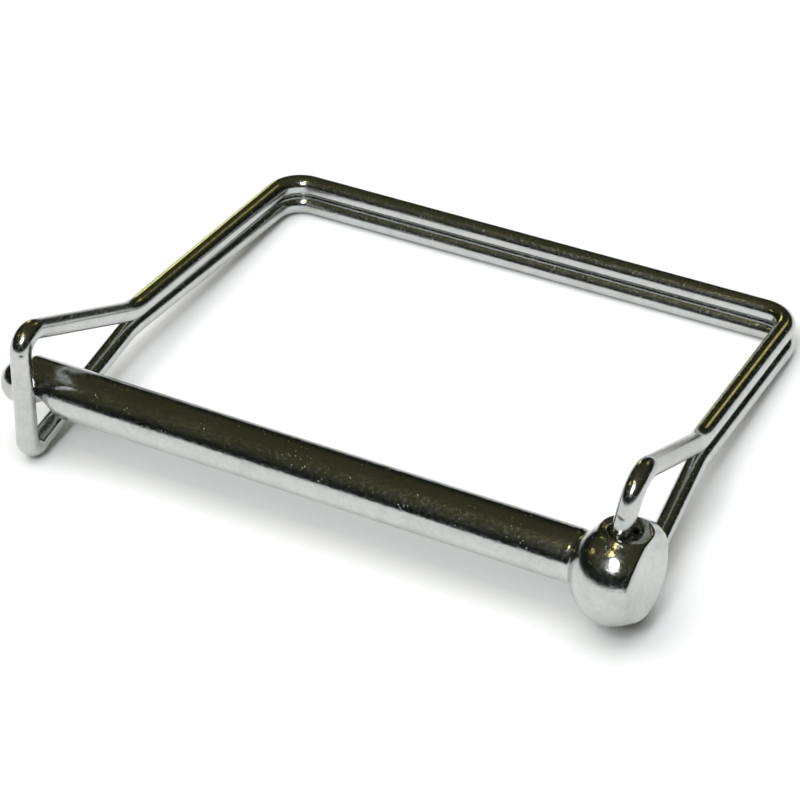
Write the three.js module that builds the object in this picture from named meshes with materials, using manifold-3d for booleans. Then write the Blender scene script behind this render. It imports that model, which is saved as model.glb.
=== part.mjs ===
// Square wire-lock hitch pin: a solid steel pin with an upset ball head, and a
// bail bent from one length of spring wire. The two wire ends sit in the two
// mouths of the cross hole through the head; the two strands run side by side
// round the back of the bail, part near the tip, and join in a square loop that
// snaps over the tip of the pin.
//
// Units are millimetres. Shapes are laid out in the pin's own axes first:
// X along the pin towards the head, the cross hole along Z close to the ball's
// centre, which is the origin, the bail reaching towards +Y. The whole lock is then
// tilted about X and moved, so that it lies on a table at Z = 0 on the bend
// under its head and on the back of its bail, with the origin at the middle of
// the base of its bounding box.

import * as THREE from 'three';
import { mergeVertices } from 'three/addons/utils/BufferGeometryUtils.js';
import Module from 'manifold-3d';

// ---- driving dimensions ----------------------------------------------------
// pin
const SHANK_R = 3.175;         // 1/4 in pin
const TIP_X = -80.3;           // end of the nose
const NOSE_R = 2.85;           // the nose beyond the notch is a little thinner
const NOSE_X = -77.15;         // where the nose's dome begins
const NOSE_STEP = 0.35;        // length of the cone between nose and shank
const HEAD_R = 5.85;           // ball head
const HEAD_BACK = 5.35;        // half length of the head towards the shank
const HEAD_FULL = 2.2;         // 2 is an ellipse; a little fuller than one
const FACE_X = 3.5;            // flat end of the head
const FACE_R = 4.3;            // flat part of that end
const NECK_FILLET = 0.5;
const HOLE_R = 1.65;           // cross hole in the head
const HOLE_X = -0.02;          // its place along the pin, from the ball's centre
const DISH_X = 0.5;            // the upper mouth is dished, off the hole's axis
const DISH_Z0 = 4.2, DISH_R0 = 1.4;
const DISH_Z1 = 5.75, DISH_R1 = 2.55;
const CONE_Z0 = 4.1;           // the lower mouth is a wide countersink from here
const LOW_CONE_R1 = 4.9;       // its radius at HEAD_R
const PIN_SIDES = 48;
// notch for the loop in the front of the pin
const NOTCH_X = -74.3;
const NOTCH_R = 2.9;
const NOTCH_DEPTH = 1.6;
const NOTCH_TURN = 50;         // degrees below the front of the pin
// wire
const WIRE_R = 1.25;
const WIRE_SIDES = 12;
const STRAND = 1.35;           // half the distance between the two strands
const GAP = 0.3;               // between the solids of one wire
// bail outline
const BACK_Y = 52.54, BACK_SLOPE = 0.0144, BACK_MID_X = -37;
const LEFT_X = -73.91, LEFT_SLOPE = 0.0312;
const RIGHT_X = -2.604, RIGHT_SLOPE = -0.04956;
const SIDE_MID_Y = 25;
const CORNER_R = 3.6;
const FORK_R = 8;              // bend where the strands part
const FORK_HEAD_Y = 24.0;
const FORK_TIP_Y = 16.6;
const FORK_TIP_DX = 0.6, FORK_TIP_Z = 1.25;
// wire ends at the head
const STUB_Z = 2.6;            // the ends stop this far from the middle of the hole
const TOP_MOUTH = [HOLE_X, 0, 4.8], TOP_MOUTH_R = 1.2;
const TOP_APEX = [1.05, 1.6, 12.2], TOP_APEX_R = 3.0;
const LOW_MOUTH = [HOLE_X, 0.35, -7.05], LOW_MOUTH_R = 1.7;
// loop over the tip
const LOOP_TOP = [-74.07, -4.9, 10.22], LOOP_TOP_R = 2.0;
const LOOP_LOW = [-74.76, -4.15, -7.1], LOOP_LOW_R = 1.5;
const SPLIT_Y = 46.5;          // where the springing part of the bail begins
// how it lies
const LIE_TILT = 5.9;          // degrees, back of the bail down

// ---- helpers ---------------------------------------------------------------
const wasm = await Module();
wasm.setup();

const toSolid = (geometry) => {
  const g = geometry.clone();
  g.deleteAttribute('normal');
  g.deleteAttribute('uv');
  const m = mergeVertices(g, 1e-4);
  return new wasm.Manifold(new wasm.Mesh({
    numProp: 3,
    vertProperties: new Float32Array(m.attributes.position.array),
    triVerts: new Uint32Array(m.index.array),
  }));
};

const toGeometry = (solid) => {
  const mesh = solid.getMesh();
  const g = new THREE.BufferGeometry();
  const pos = new Float32Array(mesh.numVert * 3);
  for (let i = 0; i < mesh.numVert; i++) {
    for (let k = 0; k < 3; k++) pos[3 * i + k] = mesh.vertProperties[i * mesh.numProp + k];
  }
  g.setAttribute('position', new THREE.BufferAttribute(pos, 3));
  g.setIndex(new THREE.BufferAttribute(new Uint32Array(mesh.triVerts), 1));
  g.computeVertexNormals();
  return g;
};

// A wire: straight runs between corners, each corner rounded to its bend radius.
// Points and tangents are kept, so that a section stands square to the wire.
const bendWire = (corners, radii, stepDeg) => {
  const pts = [], tans = [];
  const push = (p, t) => { pts.push(p.clone()); tans.push(t.clone().normalize()); };
  const n = corners.length;
  const dir = (i) => corners[i + 1].clone().sub(corners[i]).normalize();
  push(corners[0], dir(0));
  for (let i = 1; i < n - 1; i++) {
    const u = dir(i - 1), v = dir(i);
    const turn = u.angleTo(v);
    const cut = radii[i] * Math.tan(turn / 2);
    const a = corners[i].clone().addScaledVector(u, -cut);
    const inward = v.clone().sub(u).normalize();
    const centre = corners[i].clone().addScaledVector(inward, radii[i] / Math.cos(turn / 2));
    const axis = u.clone().cross(v).normalize();
    const steps = Math.max(2, Math.ceil(THREE.MathUtils.radToDeg(turn) / stepDeg));
    for (let k = 0; k <= steps; k++) {
      const w = (turn * k) / steps;
      const p = a.clone().sub(centre).applyAxisAngle(axis, w).add(centre);
      push(p, u.clone().applyAxisAngle(axis, w));
    }
  }
  push(corners[n - 1], dir(n - 2));
  return { pts, tans };
};

class WireLine extends THREE.Curve {
  constructor(pts, tans) { super(); this.pts = pts; this.tans = tans; }
  at(list, t) {
    const x = Math.min(Math.max(t, 0), 1) * (list.length - 1);
    const i = Math.min(Math.floor(x + 1e-9), list.length - 2);
    return list[i].clone().lerp(list[i + 1], x - i);
  }
  getPoint(t) { return this.at(this.pts, t); }
  getPointAt(u) { return this.at(this.pts, u); }
  getTangent(t) { return this.at(this.tans, t).normalize(); }
  getTangentAt(u) { return this.getTangent(u); }
}

const section = new THREE.Shape();
for (let i = 0; i < WIRE_SIDES; i++) {
  const a = (2 * Math.PI * i) / WIRE_SIDES;
  const x = WIRE_R * Math.cos(a), y = WIRE_R * Math.sin(a);
  if (i === 0) section.moveTo(x, y); else section.lineTo(x, y);
}
section.closePath();

const wire = ({ pts, tans }) => new THREE.ExtrudeGeometry(section, {
  steps: pts.length - 1,
  extrudePath: new WireLine(pts, tans),
  curveSegments: 1,
});

// ---- the pin ---------------------------------------------------------------
const profile = [];
const p2 = (x, r) => profile.push(new THREE.Vector2(r, x));
p2(TIP_X, 0);
for (let i = 1; i <= 8; i++) {
  const a = (Math.PI / 2) * (i / 8);
  p2(NOSE_X - (NOSE_X - TIP_X) * Math.cos(a), NOSE_R * Math.sin(a));
}
p2(NOSE_X + NOSE_STEP, SHANK_R);
// head: an ellipse towards the shank, a sphere towards the flat end
const headR = (x) => (x < 0
  ? HEAD_R * Math.max(0, 1 - (-x / HEAD_BACK) ** HEAD_FULL) ** (1 / HEAD_FULL)
  : Math.sqrt(HEAD_R * HEAD_R - x * x));
const neckX = -HEAD_BACK * (1 - (SHANK_R / HEAD_R) ** HEAD_FULL) ** (1 / HEAD_FULL);
p2(neckX - NECK_FILLET, SHANK_R);
p2(neckX - NECK_FILLET * 0.25, SHANK_R + NECK_FILLET * 0.18);
for (let i = 1; i <= 9; i++) {
  const x = neckX + NECK_FILLET * 0.35 + (0 - neckX - NECK_FILLET * 0.35) * Math.sin((Math.PI / 2) * (i / 9) ** 1.1) * 1;
  p2(x, headR(x));
}
for (let i = 1; i <= 4; i++) { const x = (FACE_X - 0.4) * (i / 4); p2(x, headR(x)); }
p2(FACE_X - 0.12, FACE_R + 0.22);
p2(FACE_X, FACE_R);
p2(FACE_X, 0);

// the lathe turns about Y; the pin's axis is X
const lathe = new THREE.LatheGeometry(profile, PIN_SIDES);
lathe.rotateX(Math.PI / 2);        // Y to Z
lathe.rotateY(Math.PI / 2);        // Z to X
let pinSolid = toSolid(lathe);

// cross hole, wide at its lower mouth, turned in one piece
const holeEnd = HEAD_R + 1.5;
const lowR = HOLE_R + ((LOW_CONE_R1 - HOLE_R) / (HEAD_R - CONE_Z0)) * (holeEnd - CONE_Z0);
const holeProfile = [[0, -holeEnd], [lowR, -holeEnd], [HOLE_R, -CONE_Z0], [HOLE_R, holeEnd], [0, holeEnd]]
  .map(([r, y]) => new THREE.Vector2(r, y));
const hole = new THREE.LatheGeometry(holeProfile, 36);
hole.rotateX(Math.PI / 2);
hole.translate(HOLE_X, 0, 0);
pinSolid = pinSolid.subtract(toSolid(hole));

// the dish round the upper mouth
const dishSlope = (DISH_R1 - DISH_R0) / (DISH_Z1 - DISH_Z0);
const dishEnd = DISH_R1 + dishSlope * (holeEnd - DISH_Z1);
const dish = new THREE.LatheGeometry(
  [[0, DISH_Z0], [DISH_R0, DISH_Z0], [dishEnd, holeEnd], [0, holeEnd]].map(([r, y]) => new THREE.Vector2(r, y)), 36);
dish.rotateX(Math.PI / 2);
dish.translate(DISH_X, 0, 0);
pinSolid = pinSolid.subtract(toSolid(dish));

// notch: a groove across the front of the pin, just inside the nose
const notch = new THREE.CylinderGeometry(NOTCH_R, NOTCH_R, 14, 40, 1);
notch.rotateX(Math.PI / 2);        // axis to Z
notch.translate(0, -(SHANK_R - NOTCH_DEPTH + NOTCH_R), 0);
notch.rotateX(THREE.MathUtils.degToRad(NOTCH_TURN));
notch.translate(NOTCH_X, 0, 0);
pinSolid = pinSolid.subtract(toSolid(notch));

// ---- the wire --------------------------------------------------------------
const V = (x, y, z) => new THREE.Vector3(x, y, z);
const leftX = (y) => LEFT_X + LEFT_SLOPE * (y - SIDE_MID_Y);
const rightX = (y) => RIGHT_X + RIGHT_SLOPE * (y - SIDE_MID_Y);
const backY = (x) => BACK_Y + BACK_SLOPE * (x - BACK_MID_X);
const yR = backY(-4), xR = rightX(yR);
const yL = backY(-73), xL = leftX(yL);
const forkHead = V(rightX(FORK_HEAD_Y), FORK_HEAD_Y, 0);
const forkTip = V(leftX(FORK_TIP_Y), FORK_TIP_Y, 0);

const upperArm = bendWire([
  V(TOP_MOUTH[0], TOP_MOUTH[1] / 2, STUB_Z),
  V(...TOP_MOUTH),
  V(...TOP_APEX),
  V(forkHead.x, forkHead.y, STRAND),
  V(xR, yR, STRAND),
  V(xL, yL, STRAND),
  V(leftX(SPLIT_Y), SPLIT_Y, STRAND),
], [0, TOP_MOUTH_R, TOP_APEX_R, FORK_R, CORNER_R, CORNER_R, 0], 12);

const lowerArm = bendWire([
  V(LOW_MOUTH[0], LOW_MOUTH[1] / 2, -STUB_Z),
  V(...LOW_MOUTH),
  V(forkHead.x, forkHead.y, -STRAND),
  V(xR, yR, -STRAND),
  V(xL, yL, -STRAND),
  V(leftX(SPLIT_Y), SPLIT_Y, -STRAND),
], [0, LOW_MOUTH_R, FORK_R, CORNER_R, CORNER_R, 0], 12);

const loop = bendWire([
  V(leftX(SPLIT_Y - GAP), SPLIT_Y - GAP, STRAND),
  V(forkTip.x + FORK_TIP_DX, forkTip.y, FORK_TIP_Z),
  V(...LOOP_TOP),
  V(...LOOP_LOW),
  V(forkTip.x, forkTip.y, -STRAND),
  V(leftX(SPLIT_Y - GAP), SPLIT_Y - GAP, -STRAND),
], [0, FORK_R, LOOP_TOP_R, LOOP_LOW_R, FORK_R, 0], 12);

// ---- materials and assembly ------------------------------------------------
const plated = (hex, rough) => new THREE.MeshStandardMaterial({ color: hex, roughness: rough, metalness: 1 });
const lock = new THREE.Group();

const add = (name, geometry, material) => {
  const mesh = new THREE.Mesh(geometry, material);
  mesh.name = name;
  lock.add(mesh);
  return mesh;
};

add('lock_pin', toGeometry(pinSolid), plated(0xb9bab4, 0.2));
add('bail_upper_arm', toGeometry(toSolid(wire(upperArm))), plated(0xc2c3bd, 0.16));
add('bail_lower_arm', toGeometry(toSolid(wire(lowerArm))), plated(0xc2c3bd, 0.16));
add('bail_loop', toGeometry(toSolid(wire(loop))), plated(0xc2c3bd, 0.16));

lock.rotation.x = -THREE.MathUtils.degToRad(LIE_TILT);
lock.updateMatrixWorld(true);
const extent = new THREE.Box3();
const corner = new THREE.Vector3();
lock.traverse((o) => {
  if (!o.isMesh) return;
  const at = o.geometry.attributes.position;
  for (let i = 0; i < at.count; i++) extent.expandByPoint(corner.fromBufferAttribute(at, i).applyMatrix4(o.matrixWorld));
});
lock.position.set(
  -(extent.min.x + extent.max.x) / 2,
  -(extent.min.y + extent.max.y) / 2,
  -extent.min.z,
);

const group = new THREE.Group();
group.add(lock);

export default group;
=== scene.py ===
# Square wire-lock hitch pin: a bright zinc plated steel pin and its spring wire bail, on a pale table.
import math

import bmesh
import bpy
import numpy as np
from mathutils import Matrix, Vector, noise


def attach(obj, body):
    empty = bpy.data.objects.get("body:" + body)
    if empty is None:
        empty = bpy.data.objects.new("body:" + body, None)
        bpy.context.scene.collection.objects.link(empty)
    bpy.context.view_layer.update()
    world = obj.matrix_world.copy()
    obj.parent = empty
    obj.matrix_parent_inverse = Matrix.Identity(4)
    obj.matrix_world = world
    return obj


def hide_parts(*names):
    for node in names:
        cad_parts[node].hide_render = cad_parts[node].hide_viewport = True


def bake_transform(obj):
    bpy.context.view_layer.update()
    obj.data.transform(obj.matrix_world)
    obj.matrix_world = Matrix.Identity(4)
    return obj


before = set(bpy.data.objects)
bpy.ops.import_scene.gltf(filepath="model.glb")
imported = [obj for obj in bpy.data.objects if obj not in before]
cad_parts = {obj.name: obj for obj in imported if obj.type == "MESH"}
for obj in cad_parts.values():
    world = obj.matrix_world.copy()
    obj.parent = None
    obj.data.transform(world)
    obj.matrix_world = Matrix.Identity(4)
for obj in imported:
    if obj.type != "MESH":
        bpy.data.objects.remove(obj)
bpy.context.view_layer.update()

MM = 0.001
LIE_TILT = math.radians(5.9)
LIE_AT = (38.400002, -24.034961, 8.025526)  # the ball's centre in the row frame, mm

# the pin's own axes, in mm, to the row frame, in metres
TO_ROW = (
    Matrix.Scale(MM, 4)
    @ Matrix.Translation(LIE_AT)
    @ Matrix.Rotation(-LIE_TILT, 4, "X")
)

# ---- sizes, in mm, in the pin's own axes --------------------------------------
SHANK_R = 3.16
TIP_X, NOSE_R, NOSE_X = -80.25, 2.85, -77.2
HEAD_R, HEAD_BACK, HEAD_FULL = 5.84, 5.35, 2.2
FACE_X = 3.48
HEAD_UNEVEN = (
    ((-0.10, -0.63, -0.77), 0.42, 0.50),
    ((-0.73, 0.09, 0.67), -0.40, 0.34),
    ((0.30, 0.62, 0.66), 0.50, 0.38),
)
NOSE_DROP = 0.38
HOLE_R, HOLE_X = 1.50, -0.02
DISH_X = 0.50
NOTCH_X, NOTCH_R, NOTCH_DEPTH = -74.3, 2.9, 1.6
NOTCH_TURN = math.radians(50)

WIRE_R = 1.232
STRAND = 1.35
BACK_Y, BACK_SLOPE, BACK_MID_X = 52.54, 0.0144, -37.0
LEFT_X, LEFT_SLOPE = -73.91, 0.0312
RIGHT_X, RIGHT_SLOPE = -2.604, -0.04956
SIDE_MID_Y = 25.0
CORNER_R, FORK_R = 3.6, 8.0
FORK_HEAD_Y, FORK_TIP_Y, FORK_TIP_DX, FORK_TIP_Z = 24.0, 16.6, 0.6, 1.25
STUB_Z = 2.6
TOP_MOUTH, TOP_MOUTH_R = (HOLE_X, 0.0, 4.8), 1.2
TOP_APEX, TOP_APEX_R = (1.05, 1.6, 12.2), 3.0
LOW_MOUTH, LOW_MOUTH_R = (HOLE_X, 0.35, -7.05), 1.7
LOOP_TOP, LOOP_TOP_R = (-74.07, -4.9, 10.22), 2.0
LOOP_LOW, LOOP_LOW_R = (-74.76, -4.15, -7.1), 1.5


def smoothstep(a, b, x):
    t = np.clip((x - a) / (b - a), 0.0, 1.0)
    return t * t * (3 - 2 * t)


def smin(a, b, k):
    """Smooth minimum, rounded over about k."""
    h = np.clip(0.5 + 0.5 * (b - a) / k, 0.0, 1.0)
    return b * (1 - h) + a * h - k * h * (1 - h)


def smax(a, b, k):
    return -smin(-a, -b, k)


def new_object(name, verts, faces, smooth=True):
    me = bpy.data.meshes.new(name)
    me.from_pydata([tuple(v) for v in verts], [], [tuple(f) for f in faces])
    me.update()
    if smooth:
        me.polygons.foreach_set("use_smooth", [True] * len(me.polygons))
    ob = bpy.data.objects.new(name, me)
    bpy.context.scene.collection.objects.link(ob)
    return ob


def grid_faces(n, m):
    """Quads of n closed rings of m points."""
    i = np.arange(n - 1)[:, None] * m
    j = np.arange(m)[None, :]
    k = (j + 1) % m
    return np.stack([i + j, i + k, i + m + k, i + m + j], axis=-1).reshape(-1, 4)


# ---- the pin ----------------------------------------------------------------
def body_radius(x):
    """Radius of the turned pin at x, without notch and hole."""
    # nose: a dome on a slightly thinner end
    a = np.clip((NOSE_X - x) / (NOSE_X - TIP_X), 0.0, 1.0)
    nose = NOSE_R * np.sqrt(np.clip(1 - a**2, 0, 1)) ** 0.92
    nose = np.where(x > NOSE_X, NOSE_R, nose)
    shank = NOSE_R + (SHANK_R - NOSE_R) * smoothstep(NOSE_X + 0.1, NOSE_X + 0.95, x)
    r = np.where(x < NOSE_X, nose, shank)
    # head: an ellipsoid towards the shank, a ball towards its flat end
    u = np.abs(np.where(x < 0, x / HEAD_BACK, x / HEAD_R))
    full = np.where(x < 0, HEAD_FULL, 2.0)
    head = HEAD_R * np.clip(1 - u**full, 0, 1) ** (1 / full)
    head = np.where(u < 1, head, 0.0)
    r = np.where(x > -8, smax(r * (x < 0), head, 0.32), r)
    return r


def pin_mesh():
    xs = [np.array([TIP_X])]
    a = np.linspace(0, math.pi / 2, 26)[1:]
    xs.append(NOSE_X - (NOSE_X - TIP_X) * np.cos(a))
    xs.append(np.arange(NOSE_X + 0.08, NOTCH_X + NOTCH_R + 1.2, 0.075))
    start = xs[-1][-1]
    xs.append(np.linspace(start, -6.2, 110)[1:])
    xs.append(np.arange(-6.1, -3.9, 0.07))
    start = xs[-1][-1]
    xs.append(np.linspace(start, FACE_X - 0.75, 84)[1:])
    x = np.concatenate(xs)
    m = 168
    th = np.linspace(0, 2 * math.pi, m, endpoint=False)
    r0 = body_radius(x)
    r0[0] = 0.0
    X, TH = np.meshgrid(x, th, indexing="ij")
    R = np.repeat(r0[:, None], m, axis=1)
    # notch: a groove across the pin's front; n is its depth direction
    # angle of a point measured from -Y towards -Z
    Y, Z = np.cos(TH), np.sin(TH)
    ny, nz = -math.cos(NOTCH_TURN), -math.sin(NOTCH_TURN)
    cosphi = Y * ny + Z * nz
    dx = X - NOTCH_X
    inside = (np.abs(dx) < NOTCH_R) & (cosphi > 0.05)
    floor = (SHANK_R - NOTCH_DEPTH + NOTCH_R) - np.sqrt(
        np.clip(NOTCH_R**2 - dx**2, 0, None)
    )
    rn = np.where(inside, floor / np.clip(cosphi, 0.05, None), 99.0)
    # beyond the groove's own radius the cut surface leaves the pin, so fade it out
    R = smin(R, rn, 0.22)
    R[0] = 0.0
    # end of the head: a rounded rim, then the flat face, very slightly dished
    rim_r = float(body_radius(np.array([x[-1]]))[0])
    rim = []
    rr = 0.75
    for a in np.linspace(0, math.pi / 2, 9)[1:]:
        rim.append((FACE_X - rr + rr * math.sin(a), rim_r - 0.06 - rr * (1 - math.cos(a)) * 1.15))
    last = rim[-1][1]
    for f in (0.93, 0.85, 0.72, 0.55, 0.35, 0.15):
        rim.append((FACE_X - 0.05 * (1 - f**2) * 1.0, last * f))
    # the nose sits a little low and to the front of the shank's axis
    drop = NOSE_DROP * (1 - smoothstep(NOSE_X - 1.6, NOSE_X + 0.2, X))
    verts = np.stack([X, R * Y - 0.5 * drop, R * Z - 0.85 * drop], axis=-1).reshape(-1, 3)
    rows = len(x)
    extra = []
    for fx, fr in rim:
        extra.append(np.stack([np.full(m, fx), fr * np.cos(th), fr * np.sin(th)], axis=-1))
    verts = np.concatenate([verts[m:], *extra])  # the first row is the tip, a single point
    rows = rows - 1 + len(rim)
    faces = [tuple(f) for f in grid_faces(rows, m)]
    tip = len(verts)
    centre = tip + 1
    verts = np.concatenate([verts, [[TIP_X, -0.5 * NOSE_DROP, -0.85 * NOSE_DROP]], [[FACE_X - 0.05, 0, 0]]])
    for j in range(m):
        faces.append((tip, (j + 1) % m, j))
        faces.append((centre, (rows - 1) * m + j, (rows - 1) * m + (j + 1) % m))
    return verts, faces


def shape_head(v):
    """Small irregularities of the upset head and the raised lips round the mouths of its hole."""
    out = v.copy()
    centre_x = np.where(v[:, 2] > 0, DISH_X, HOLE_X)
    rho = np.hypot(v[:, 0] - centre_x, v[:, 1])
    near = (np.abs(v[:, 0]) < 4.5) & (np.abs(v[:, 2]) > 3.0)
    ang = np.arctan2(v[:, 1], v[:, 0] - centre_x)
    top = v[:, 2] > 0
    # lips: higher beside the wire and in front of it
    lip_y = np.where(top & (v[:, 1] < 0), v[:, 1] / 0.82, v[:, 1])
    rho = np.where(top, np.hypot(v[:, 0] - centre_x, lip_y), rho)
    lip = np.exp(-(((rho - 2.75) / 0.48) ** 2))
    side = 0.55 + 0.45 * np.cos(ang) ** 2 + 0.35 * np.clip(-np.sin(ang), 0, 1)
    dish = np.exp(-((rho / 2.6) ** 4))
    amount = np.where(top, 0.25, 0.10) * lip * side - np.where(top, 0.30, 0.18) * dish
    n = v / np.maximum(np.linalg.norm(v, axis=1), 1e-9)[:, None]
    out[near] += n[near] * amount[near, None]
    # the forging isn't quite round: where it is full and where it falls short
    for toward, size, width in HEAD_UNEVEN:
        d = np.array(toward) / np.linalg.norm(toward)
        angle = np.arccos(np.clip(n @ d, -1, 1))
        grown = size * np.exp(-((angle / width) ** 2))
        if d[2] < 0:
            # none of it round the lower mouth, where the wire passes as the pin swings
            grown = grown * smoothstep(2.5, 3.7, np.hypot(n[:, 0], n[:, 1]) * HEAD_R)
        out += n * grown[:, None]
    return out


def lumpy(v, scale, size, seed):
    """A displacement along z of gentle unevenness, from smooth noise."""
    return np.array([noise.noise(Vector((p[0] * scale + seed, p[1] * scale, p[2] * scale))) for p in v]) * size


pv, pf = pin_mesh()
head = pv[:, 0] > -5.2
pv[head] = shape_head(pv[head])
# gentle unevenness of the upset head, none of it seen as a step
hn = pv[head] / np.maximum(np.linalg.norm(pv[head], axis=1), 1e-9)[:, None]
flat = (pv[head][:, 0] < FACE_X - 0.3).astype(float)
pv[head] += hn * (lumpy(pv[head], 0.42, 0.05, 3.0) * flat)[:, None]
pv[:, 0] = np.minimum(pv[:, 0], FACE_X)
pin = new_object("pin_body", pv, pf)


def lathe_z(name, profile, m=96):
    """A solid turned about Z from (radius, z) pairs that start and end on the axis."""
    th = np.linspace(0, 2 * math.pi, m, endpoint=False)
    rings = [
        np.stack([r * np.cos(th), r * np.sin(th), np.full(m, z)], axis=-1)
        for r, z in profile[1:-1]
    ]
    verts = np.concatenate([*rings, [[0, 0, profile[0][1]]], [[0, 0, profile[-1][1]]]])
    n = len(rings)
    faces = [tuple(f) for f in grid_faces(n, m)]
    a, b = n * m, n * m + 1
    for j in range(m):
        faces.append((a, (j + 1) % m, j))
        faces.append((b, (n - 1) * m + j, (n - 1) * m + (j + 1) % m))
    return new_object(name, verts, faces)


# the cross hole: a straight bore, wide at its lower mouth, and the dish round the upper one
LOW_R = HOLE_R + 0.14
low = []
for a in np.linspace(0, math.pi / 2, 8):
    low.append((LOW_R + 0.35 * (1 - math.cos(a)), 3.95 + 0.3 * math.sin(a)))
low += [(3.4, 4.98), (3.75, 5.1), (4.0, 5.4), (4.2, 5.75), (4.2, 9.0)]
prof = [(0.0, -9.0)] + [(r, -z) for r, z in reversed(low)] + [(LOW_R, -1.0), (HOLE_R, 1.0), (HOLE_R, 9.0), (0.0, 9.0)]
bore = lathe_z("bore_cutter", prof)
bore.data.transform(Matrix.Translation((HOLE_X, 0, 0)))

prof = [(0.0, 4.15), (1.30, 4.15)]
for a in np.linspace(0, math.pi / 2, 16):
    prof.append((1.52 + 0.98 * (1 - math.cos(a)), 4.25 + 1.10 * math.sin(a)))
prof += [(3.3, 5.75), (4.2, 9.0), (0.0, 9.0)]
dish = lathe_z("dish_cutter", prof)
# it is pressed shorter towards the front
for v in dish.data.vertices:
    if v.co.y < 0:
        v.co.y *= 0.82
dish.data.transform(Matrix.Translation((DISH_X, 0, 0)))

for tool in (bore, dish):
    mod = pin.modifiers.new("hole", "BOOLEAN")
    mod.operation = "DIFFERENCE"
    mod.object = tool
    mod.solver = "EXACT"
bpy.context.view_layer.update()
dg = bpy.context.evaluated_depsgraph_get()
cut = bpy.data.meshes.new_from_object(pin.evaluated_get(dg))
pin.modifiers.clear()
old = pin.data
pin.data = cut
bpy.data.meshes.remove(old)
bpy.data.objects.remove(bore)
bpy.data.objects.remove(dish)
print("pin faces", len(cut.polygons))
# painted shade: the colour is darkened in the notch, inside the hole, along a line round the rim of the flat end and in
# a smudge on the flat face
co = np.empty(len(cut.vertices) * 3, np.float32)
cut.vertices.foreach_get("co", co)
co = co.reshape(-1, 3).astype(float)
rad = np.hypot(co[:, 1], co[:, 2])
groove = np.clip((body_radius(co[:, 0]) - rad) / 0.25, 0, 1) * (np.abs(co[:, 0] - NOTCH_X) < NOTCH_R + 0.3)
inner = np.hypot(co[:, 0] - HOLE_X, co[:, 1])
bore = (inner < HOLE_R + 0.25) * (1 - smoothstep(3.4, 4.4, np.abs(co[:, 2]))) * (co[:, 0] > -4)
rim = np.exp(-(((co[:, 0] - (FACE_X - 0.28)) / 0.26) ** 2)) * smoothstep(3.4, 4.2, rad)
# painted shade: a dark smudge on the flat face
face_smudge_shade = np.exp(-(((co[:, 1] - 1.9) / 1.5) ** 2 + ((co[:, 2] - 3.3 + 0.55 * (co[:, 1] - 1.9)) / 0.6) ** 2)) * (co[:, 0] > 3.2)
painted_shade = cut.attributes.new("painted_shade", "FLOAT", "POINT")
painted_shade.data.foreach_set("value", np.clip(0.70 * groove + 0.60 * bore + 0.14 * rim + 0.16 * face_smudge_shade, 0, 1).astype(np.float32))
cut.polygons.foreach_set("use_smooth", [True] * len(cut.polygons))
cut.transform(TO_ROW)
cut.update()


# ---- the wire ---------------------------------------------------------------
def left_x(y):
    return LEFT_X + LEFT_SLOPE * (y - SIDE_MID_Y)


def right_x(y):
    return RIGHT_X + RIGHT_SLOPE * (y - SIDE_MID_Y)


def back_y(x):
    return BACK_Y + BACK_SLOPE * (x - BACK_MID_X)


def bend_line(corners, radii, step):
    """Points along straight runs and round bends, about step apart, with the curvature at each."""
    c = [np.array(p, float) for p in corners]
    pts, kap = [c[0]], [0.0]

    def straight(to):
        a = pts[-1]
        n = max(1, int(np.linalg.norm(to - a) / step))
        for i in range(1, n + 1):
            pts.append(a + (to - a) * i / n)
            kap.append(0.0)

    for i in range(1, len(c) - 1):
        u = c[i] - c[i - 1]
        u /= np.linalg.norm(u)
        v = c[i + 1] - c[i]
        v /= np.linalg.norm(v)
        turn = math.acos(float(np.clip(u @ v, -1, 1)))
        cut = radii[i] * math.tan(turn / 2)
        straight(c[i] - u * cut)
        inward = v - u
        inward /= np.linalg.norm(inward)
        centre = c[i] + inward * radii[i] / math.cos(turn / 2)
        axis = np.cross(u, v)
        axis /= np.linalg.norm(axis)
        arm = pts[-1] - centre
        side = np.cross(axis, arm)
        n = max(6, int(radii[i] * turn / (step * 0.7)))
        for k in range(1, n + 1):
            w = turn * k / n
            pts.append(centre + arm * math.cos(w) + side * math.sin(w))
            kap.append(1.0 / radii[i])
    straight(c[-1])
    return np.array(pts), np.array(kap)


y_r = back_y(-4.0)
y_l = back_y(-73.0)
x_r, x_l = right_x(y_r), left_x(y_l)
fork_head = np.array([right_x(FORK_HEAD_Y), FORK_HEAD_Y])
fork_tip = (left_x(FORK_TIP_Y), FORK_TIP_Y)
CORNERS = [
    (TOP_MOUTH[0], TOP_MOUTH[1] / 2, STUB_Z),
    TOP_MOUTH,
    TOP_APEX,
    (fork_head[0], fork_head[1], STRAND),
    (x_r, y_r, STRAND),
    (x_l, y_l, STRAND),
    (fork_tip[0] + FORK_TIP_DX, fork_tip[1], FORK_TIP_Z),
    LOOP_TOP,
    LOOP_LOW,
    (fork_tip[0], fork_tip[1], -STRAND),
    (x_l, y_l, -STRAND),
    (x_r, y_r, -STRAND),
    (fork_head[0], fork_head[1], -STRAND),
    LOW_MOUTH,
    (LOW_MOUTH[0], LOW_MOUTH[1] / 2, -STUB_Z),
]
RADII = [0, TOP_MOUTH_R, TOP_APEX_R, FORK_R, CORNER_R, CORNER_R, FORK_R, LOOP_TOP_R,
         LOOP_LOW_R, FORK_R, CORNER_R, CORNER_R, FORK_R, LOW_MOUTH_R, 0]

line, curv = bend_line(CORNERS, RADII, 0.28)
n = len(line)
tan = np.gradient(line, axis=0)
tan /= np.linalg.norm(tan, axis=1)[:, None]
# frames carried along the wire without twist
u = np.array([1.0, 0.0, 0.0])
us = []
for i in range(n):
    u = u - tan[i] * (u @ tan[i])
    u /= np.linalg.norm(u)
    us.append(u.copy())
us = np.array(us)
vs = np.cross(tan, us)
arc = np.concatenate([[0], np.cumsum(np.linalg.norm(np.diff(line, axis=0), axis=1))])

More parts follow.
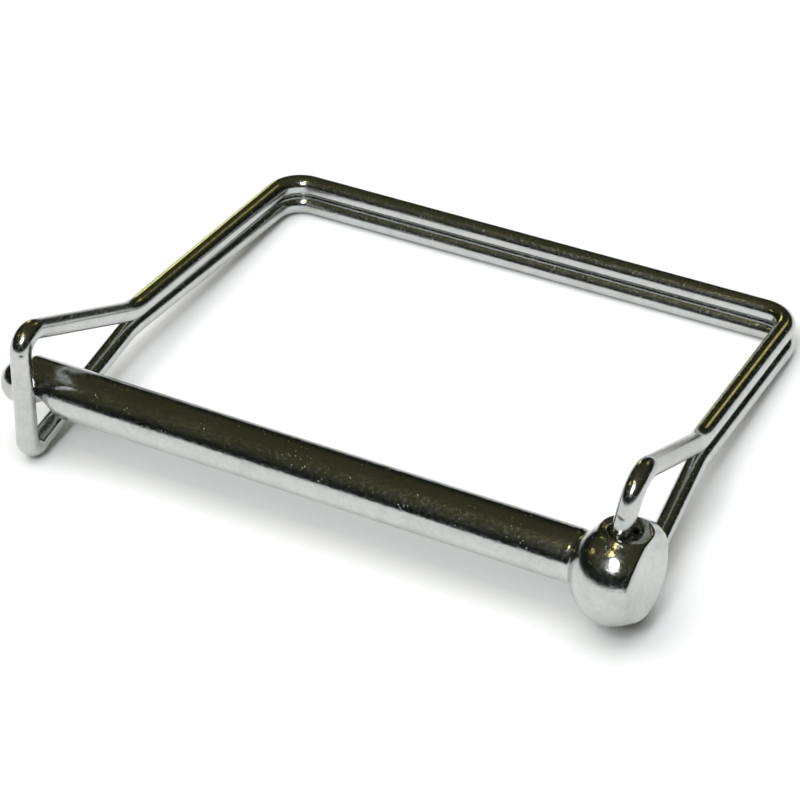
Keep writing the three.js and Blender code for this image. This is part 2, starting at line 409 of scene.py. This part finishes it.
m = 44
th = np.linspace(0, 2 * math.pi, m, endpoint=False)
C, S = np.cos(th)[None, :, None], np.sin(th)[None, :, None]
radial = us[:, None, :] * C + vs[:, None, :] * S
# in a bend the wire is a little thicker on the inside
accel = np.gradient(tan, axis=0)
accel_n = np.linalg.norm(accel, axis=1)
inward = accel / np.maximum(accel_n, 1e-9)[:, None]
flat = np.convolve(np.pad(curv, 6, mode="edge"), np.ones(13) / 13, mode="same")[6:-6]
along = np.einsum("ijk,ik->ij", radial, inward)
radius = WIRE_R * (1 + 0.12 * np.clip(flat, 0, 0.45)[:, None] * np.clip(along, 0, 1) ** 2)
wv = line[:, None, :] + radial * radius[:, :, None]
front = (line[:, 0] < -70) * (1 - smoothstep(-3.6, -1.2, line[:, 1]))
pressed = (front * (1 - smoothstep(9.0, 10.4, line[:, 2])))[:, None]
foot = (front * (1 - smoothstep(-6.4, -4.2, line[:, 2])))[:, None]
wv[:, :, 0] += (0.09 * pressed + 0.07 * foot) * (wv[:, :, 0] - line[:, None, 0])
wv[:, :, 1] -= pressed * (wv[:, :, 1] - line[:, None, 1]) * 0.03
ends = []
for s, i in ((-1, 0), (1, n - 1)):
    ends.append(line[i] + tan[i] * s * 0.02)
verts = np.concatenate([wv.reshape(-1, 3), ends])
faces = [tuple(f) for f in grid_faces(n, m)]
for j in range(m):
    faces.append((n * m, (j + 1) % m, j))
    faces.append((n * m + 1, (n - 1) * m + j, (n - 1) * m + (j + 1) % m))
wire = new_object("bail_wire", verts, faces)
# the arc length along the wire and the angle round it, for the drawn finish
run = wire.data.attributes.new("run", "FLOAT", "POINT")
run.data.foreach_set("value", np.concatenate([np.repeat(arc, m), [arc[0], arc[-1]]]).astype(np.float32))
rnd = wire.data.attributes.new("ring", "FLOAT_VECTOR", "POINT")
ring = np.stack([np.tile(np.cos(th), n), np.tile(np.sin(th), n), np.zeros(n * m)], axis=-1)
ring = np.concatenate([ring, [[0, 0, 0], [0, 0, 0]]])
rnd.data.foreach_set("vector", ring.astype(np.float32).ravel())
wire.data.transform(TO_ROW)
wire.data.update()


def outward(ob):
    bm = bmesh.new()
    bm.from_mesh(ob.data)
    bmesh.ops.recalc_face_normals(bm, faces=bm.faces)
    bm.to_mesh(ob.data)
    bm.free()


outward(pin)
outward(wire)


# ---- materials --------------------------------------------------------------
# small nicks in the wire: centre in the pin's axes, half sizes, and roll about its Y
NICKS = (
    ((0.20, -0.70, 7.29), (0.66, 1.0, 0.26), 0.30),
    ((-73.45, -5.70, 7.55), (0.34, 0.8, 0.24), 0.2),
)


def zinc(name, base, rough, relief, coords="object"):
    mat = bpy.data.materials.new(name)
    mat.use_nodes = True
    nt = mat.node_tree
    nt.nodes.clear()
    N = nt.nodes.new
    L = nt.links.new
    out = N("ShaderNodeOutputMaterial")
    p = N("ShaderNodeBsdfPrincipled")
    L(p.outputs[0], out.inputs[0])
    p.inputs["Metallic"].default_value = 1.0
    tc = N("ShaderNodeTexCoord")
    mp = N("ShaderNodeMapping")
    mp.inputs["Scale"].default_value = (1000, 1000, 1000)  # to millimetres
    L(tc.outputs["Object"], mp.inputs["Vector"])
    vec = mp.outputs["Vector"]

    def tex(scale, detail, rough_, stretch=None, dist=0.0):
        t = N("ShaderNodeTexNoise")
        t.inputs["Scale"].default_value = scale
        t.inputs["Detail"].default_value = detail
        t.inputs["Roughness"].default_value = rough_
        t.inputs["Distortion"].default_value = dist
        if stretch:
            q = N("ShaderNodeMapping")
            q.inputs["Scale"].default_value = stretch
            L(vec, q.inputs["Vector"])
            L(q.outputs[0], t.inputs["Vector"])
        else:
            L(vec, t.inputs["Vector"])
        return t.outputs["Fac"]

    def ramp(fac, stops, colours=None):
        r = N("ShaderNodeValToRGB")
        r.color_ramp.elements[0].position = stops[0][0]
        r.color_ramp.elements[0].color = (*stops[0][1], 1)
        r.color_ramp.elements[1].position = stops[-1][0]
        r.color_ramp.elements[1].color = (*stops[-1][1], 1)
        for pos, col in stops[1:-1]:
            e = r.color_ramp.elements.new(pos)
            e.color = (*col, 1)
        L(fac, r.inputs[0])
        return r.outputs[0]

    def maths(op, a, b=None, clamp=False):
        q = N("ShaderNodeMath")
        q.operation = op
        q.use_clamp = clamp
        for i, s in enumerate((a, b)):
            if s is None:
                continue
            if isinstance(s, (int, float)):
                q.inputs[i].default_value = s
            else:
                L(s, q.inputs[i])
        return q.outputs[0]

    # slow changes of tone, and the yellow-grey cast of thin passivation
    slow = ramp(tex(0.22, 4, 0.6), [(0.30, (base[0] * 0.88, base[1] * 0.885, base[2] * 0.86)), (0.5, base), (0.72, (base[0] * 1.05, base[1] * 1.05, base[2] * 1.07))])
    # and a fine mottle over it
    mottle = ramp(tex(1.5, 3, 0.6), [(0.32, (0.92, 0.92, 0.91)), (0.68, (1.05, 1.05, 1.05))])
    both = N("ShaderNodeMix")
    both.data_type = "RGBA"
    both.blend_type = "MULTIPLY"
    both.inputs[0].default_value = 1.0
    L(slow, both.inputs[6])
    L(mottle, both.inputs[7])
    tone = both.outputs[2]
    # speckle: small rough pits, in clusters
    pits = N("ShaderNodeTexVoronoi")
    pits.feature = "F1"
    pits.inputs["Scale"].default_value = 2.1
    pits.inputs["Randomness"].default_value = 1.0
    L(vec, pits.inputs["Vector"])
    pit_mask = ramp(maths("ADD", pits.outputs["Distance"], maths("MULTIPLY", tex(6.0, 1, 0.5), 0.12)), [(0.13, (1, 1, 1)), (0.19, (0, 0, 0))])
    pick = ramp(tex(0.35, 2, 0.5), [(0.52, (0, 0, 0)), (0.60, (1, 1, 1))])
    pit = maths("MULTIPLY", maths("MULTIPLY", pit_mask, pick), 1.0 if coords == "pin" else 0.05)
    dark = N("ShaderNodeMix")
    dark.data_type = "RGBA"
    L(maths("MULTIPLY", pit, 0.55), dark.inputs[0])
    L(tone, dark.inputs[6])
    dark.inputs[7].default_value = (0.74, 0.75, 0.70, 1)
    L(dark.outputs[2], p.inputs["Base Color"])
    if coords == "wire":
        # painted shade: the run from the head to the fork is darkened in the colour
        far = N("ShaderNodeAttribute")
        far.attribute_name = "run"
        grey = ramp(maths("MULTIPLY", far.outputs["Fac"], 0.01), [(0.09, (1, 1, 1)), (0.12, (0.72, 0.73, 0.72)), (0.29, (0.72, 0.73, 0.72)), (0.33, (1, 1, 1))])
        strand_shaded = N("ShaderNodeMix")
        strand_shaded.data_type = "RGBA"
        strand_shaded.blend_type = "MULTIPLY"
        strand_shaded.inputs[0].default_value = 1.0
        L(dark.outputs[2], strand_shaded.inputs[6])
        L(grey, strand_shaded.inputs[7])
        under = strand_shaded.outputs[2]
        for at_mm, half, roll in NICKS:
            nm = N("ShaderNodeMapping")
            nm.vector_type = "TEXTURE"
            nm.inputs["Location"].default_value = (TO_ROW @ Vector(at_mm)) * 1000
            nm.inputs["Rotation"].default_value = (-LIE_TILT, roll, 0)
            nm.inputs["Scale"].default_value = half
            L(vec, nm.inputs["Vector"])
            ln = N("ShaderNodeVectorMath")
            ln.operation = "LENGTH"
            L(nm.outputs[0], ln.inputs[0])
            mask = ramp(ln.outputs["Value"], [(0.45, (0.85, 0.85, 0.85)), (1.0, (0, 0, 0))])
            nk = N("ShaderNodeMix")
            nk.data_type = "RGBA"
            L(mask, nk.inputs[0])
            L(under, nk.inputs[6])
            nk.inputs[7].default_value = (0.05, 0.05, 0.045, 1)
            under = nk.outputs[2]
        L(under, p.inputs["Base Color"])
    if coords == "pin":
        # painted shade: the mask darkens the base colour in the notch, the hole, round the rim and on the face
        dl = N("ShaderNodeAttribute")
        dl.attribute_name = "painted_shade"
        painted_shade_mix = N("ShaderNodeMix")
        painted_shade_mix.data_type = "RGBA"
        L(dl.outputs["Fac"], painted_shade_mix.inputs[0])
        L(dark.outputs[2], painted_shade_mix.inputs[6])
        # the near-black colour of the painted shade
        painted_shade_mix.inputs[7].default_value = (0.13, 0.135, 0.105, 1)
        L(painted_shade_mix.outputs[2], p.inputs["Base Color"])
    # roughness: patchy, higher in the pits and on fine haze
    haze = ramp(tex(3.0, 4, 0.65), [(0.42, (0, 0, 0)), (0.74, (1, 1, 1))])
    r1 = maths("MULTIPLY", haze, 0.16)
    r2 = maths("ADD", r1, rough)
    r3 = maths("ADD", r2, maths("MULTIPLY", pit, 0.50), clamp=True)
    L(r3, p.inputs["Roughness"])
    # fine relief: plating grain, long draw marks, pits
    grain = N("ShaderNodeBump")
    grain.inputs["Strength"].default_value = 1.0
    grain.inputs["Distance"].default_value = relief * 0.000001
    L(tex(1.45, 5, 0.60), grain.inputs["Height"])
    if coords == "wire":
        at = N("ShaderNodeAttribute")
        at.attribute_name = "ring"
        ar = N("ShaderNodeAttribute")
        ar.attribute_name = "run"
        cb = N("ShaderNodeCombineXYZ")
        sep = N("ShaderNodeSeparateXYZ")
        L(at.outputs["Vector"], sep.inputs[0])
        L(maths("MULTIPLY", sep.outputs[0], 6.0), cb.inputs[0])
        L(maths("MULTIPLY", sep.outputs[1], 6.0), cb.inputs[1])
        L(maths("MULTIPLY", ar.outputs["Fac"], 0.10), cb.inputs[2])
        dm = N("ShaderNodeTexNoise")
        dm.inputs["Scale"].default_value = 1.0
        dm.inputs["Detail"].default_value = 3
        L(cb.outputs[0], dm.inputs["Vector"])
        draw = dm.outputs["Fac"]
    else:
        draw = tex(1.0, 3, 0.6, stretch=(0.10, 2.2, 2.2))
    marks = N("ShaderNodeBump")
    marks.inputs["Strength"].default_value = 1.0
    marks.inputs["Distance"].default_value = 0.0000045
    L(draw, marks.inputs["Height"])
    L(grain.outputs[0], marks.inputs["Normal"])
    swell = N("ShaderNodeBump")
    swell.inputs["Strength"].default_value = 1.0
    swell.inputs["Distance"].default_value = 0.000011
    L(tex(0.42, 2, 0.5), swell.inputs["Height"])
    L(marks.outputs[0], swell.inputs["Normal"])
    dent = N("ShaderNodeBump")
    dent.invert = True
    dent.inputs["Strength"].default_value = 0.7
    dent.inputs["Distance"].default_value = 0.00002
    L(pit, dent.inputs["Height"])
    L(swell.outputs[0], dent.inputs["Normal"])
    # finest: the crystals of the plate
    crystal = N("ShaderNodeBump")
    crystal.inputs["Strength"].default_value = 1.0
    crystal.inputs["Distance"].default_value = 0.0000035
    L(tex(4.5, 2, 0.6), crystal.inputs["Height"])
    L(dent.outputs[0], crystal.inputs["Normal"])
    L(crystal.outputs[0], p.inputs["Normal"])
    return mat


pin_mat = zinc("pin_zinc", (0.50, 0.512, 0.500), 0.12, 26, coords="pin")
wire_mat = zinc("wire_zinc", (0.50, 0.512, 0.500), 0.155, 7, coords="wire")
pin.data.materials.clear()
pin.data.materials.append(pin_mat)
wire.data.materials.append(wire_mat)

# ---- joining the frame ------------------------------------------------------
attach(pin, "pin")
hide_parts("lock_pin")
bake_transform(wire)
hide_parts("bail_upper_arm", "bail_lower_arm", "bail_loop")

# ---- table, light, camera ---------------------------------------------------
fv = [(-1.2, -1.2, 0), (1.2, -1.2, 0), (1.2, 1.2, 0), (-1.2, 1.2, 0)]
floor = new_object("table", fv, [(0, 1, 2, 3)], smooth=False)
fm = bpy.data.materials.new("table_white")
fm.use_nodes = True
b = fm.node_tree.nodes["Principled BSDF"]
b.inputs["Base Color"].default_value = (0.86, 0.86, 0.865, 1)
b.inputs["Roughness"].default_value = 0.65
b.inputs["Specular IOR Level"].default_value = 0.25
floor.data.materials.append(fm)

world = bpy.data.worlds.new("room")
bpy.context.scene.world = world
world.use_nodes = True
bg = world.node_tree.nodes["Background"]
bg.inputs["Strength"].default_value = 1.0
wn, wl = world.node_tree.nodes.new, world.node_tree.links.new
wt = wn("ShaderNodeTexCoord")
wx = wn("ShaderNodeSeparateXYZ")
wl(wt.outputs["Generated"], wx.inputs[0])
wr = wn("ShaderNodeValToRGB")
# a dim room: near black low down, a brownish olive higher up
for k, (pos, col) in enumerate([(0.0, (0.006, 0.009, 0.010)), (0.33, (0.009, 0.012, 0.010)), (0.54, (0.045, 0.045, 0.022)), (1.0, (0.066, 0.064, 0.036))]):
    e = wr.color_ramp.elements[k] if k < 2 else wr.color_ramp.elements.new(pos)
    e.position = pos
    e.color = (*col, 1)
wl(wx.outputs["Z"], wr.inputs[0])
wl(wr.outputs[0], bg.inputs["Color"])

# the camera, placed in the pin's axes and turned with the lock
CAM_AT = Vector((136.62, -280.10, 230.01))
RIGHT = Vector((0.8674361, 0.4973970, -0.0122851))
DOWN = Vector((0.2675485, -0.4871247, -0.8313407))
FORWARD = Vector((-0.4194907, 0.7178480, -0.5556274))
turn = Matrix.Rotation(-LIE_TILT, 3, "X")
cam_data = bpy.data.cameras.new("camera")
cam = bpy.data.objects.new("camera", cam_data)
bpy.context.scene.collection.objects.link(cam)
cam_data.lens = 162.0
cam_data.sensor_width = 36.0
cam_data.clip_start = 0.01
right, up, back = turn @ RIGHT, turn @ -DOWN, turn @ -FORWARD
rot = Matrix((right, up, back)).transposed().to_4x4()
cam.matrix_world = Matrix.Translation(TO_ROW @ CAM_AT) @ rot
bpy.context.scene.camera = cam
CAM_ROT = rot.to_3x3()


def area(name, toward, distance, size, watts, colour, target=(0, 0, 0.005)):
    """A square or oblong lamp seen from the lock in the given direction."""
    d = Vector(toward).normalized()
    data = bpy.data.lights.new(name, "AREA")
    data.shape = "RECTANGLE"
    data.size, data.size_y = size
    data.energy = watts
    data.color = colour
    ob = bpy.data.objects.new(name, data)
    bpy.context.scene.collection.objects.link(ob)
    ob.matrix_world = Matrix.Translation(Vector(target) + d * distance) @ d.to_track_quat("Z", "Y").to_matrix().to_4x4()
    return ob


def from_camera(x, y, z):
    return CAM_ROT @ Vector((x, y, z))


area("key", (0.083, -0.657, 0.748), 1.3, (0.30, 0.46), 7, (0.93, 0.96, 1.0))
area("lamp_over", (-0.137, -0.357, 0.926), 1.4, (0.11, 0.10), 0.8, (1.0, 0.86, 0.36))
area("lamp_back", (0.08, 0.84, 0.536), 1.6, (0.34, 0.26), 0.30, (1.0, 0.90, 0.30))
area("lamp_left", (-0.733, -0.24, 0.635), 1.6, (0.08, 0.07), 0.25, (1.0, 0.84, 0.36))
area("glow_left", (-0.66, 0.71, 0.24), 1.5, (0.13, 0.48), 0.56, (1.0, 0.95, 0.30))
# a wide overhead softbox that lights the table; the metal doesn't mirror it
soft = area("soft_over", (-0.05, -0.10, 1.0), 1.2, (1.6, 1.6), 23, (0.97, 0.985, 1.0))
soft.visible_glossy = False

bpy.context.scene.view_settings.view_transform = "Standard"
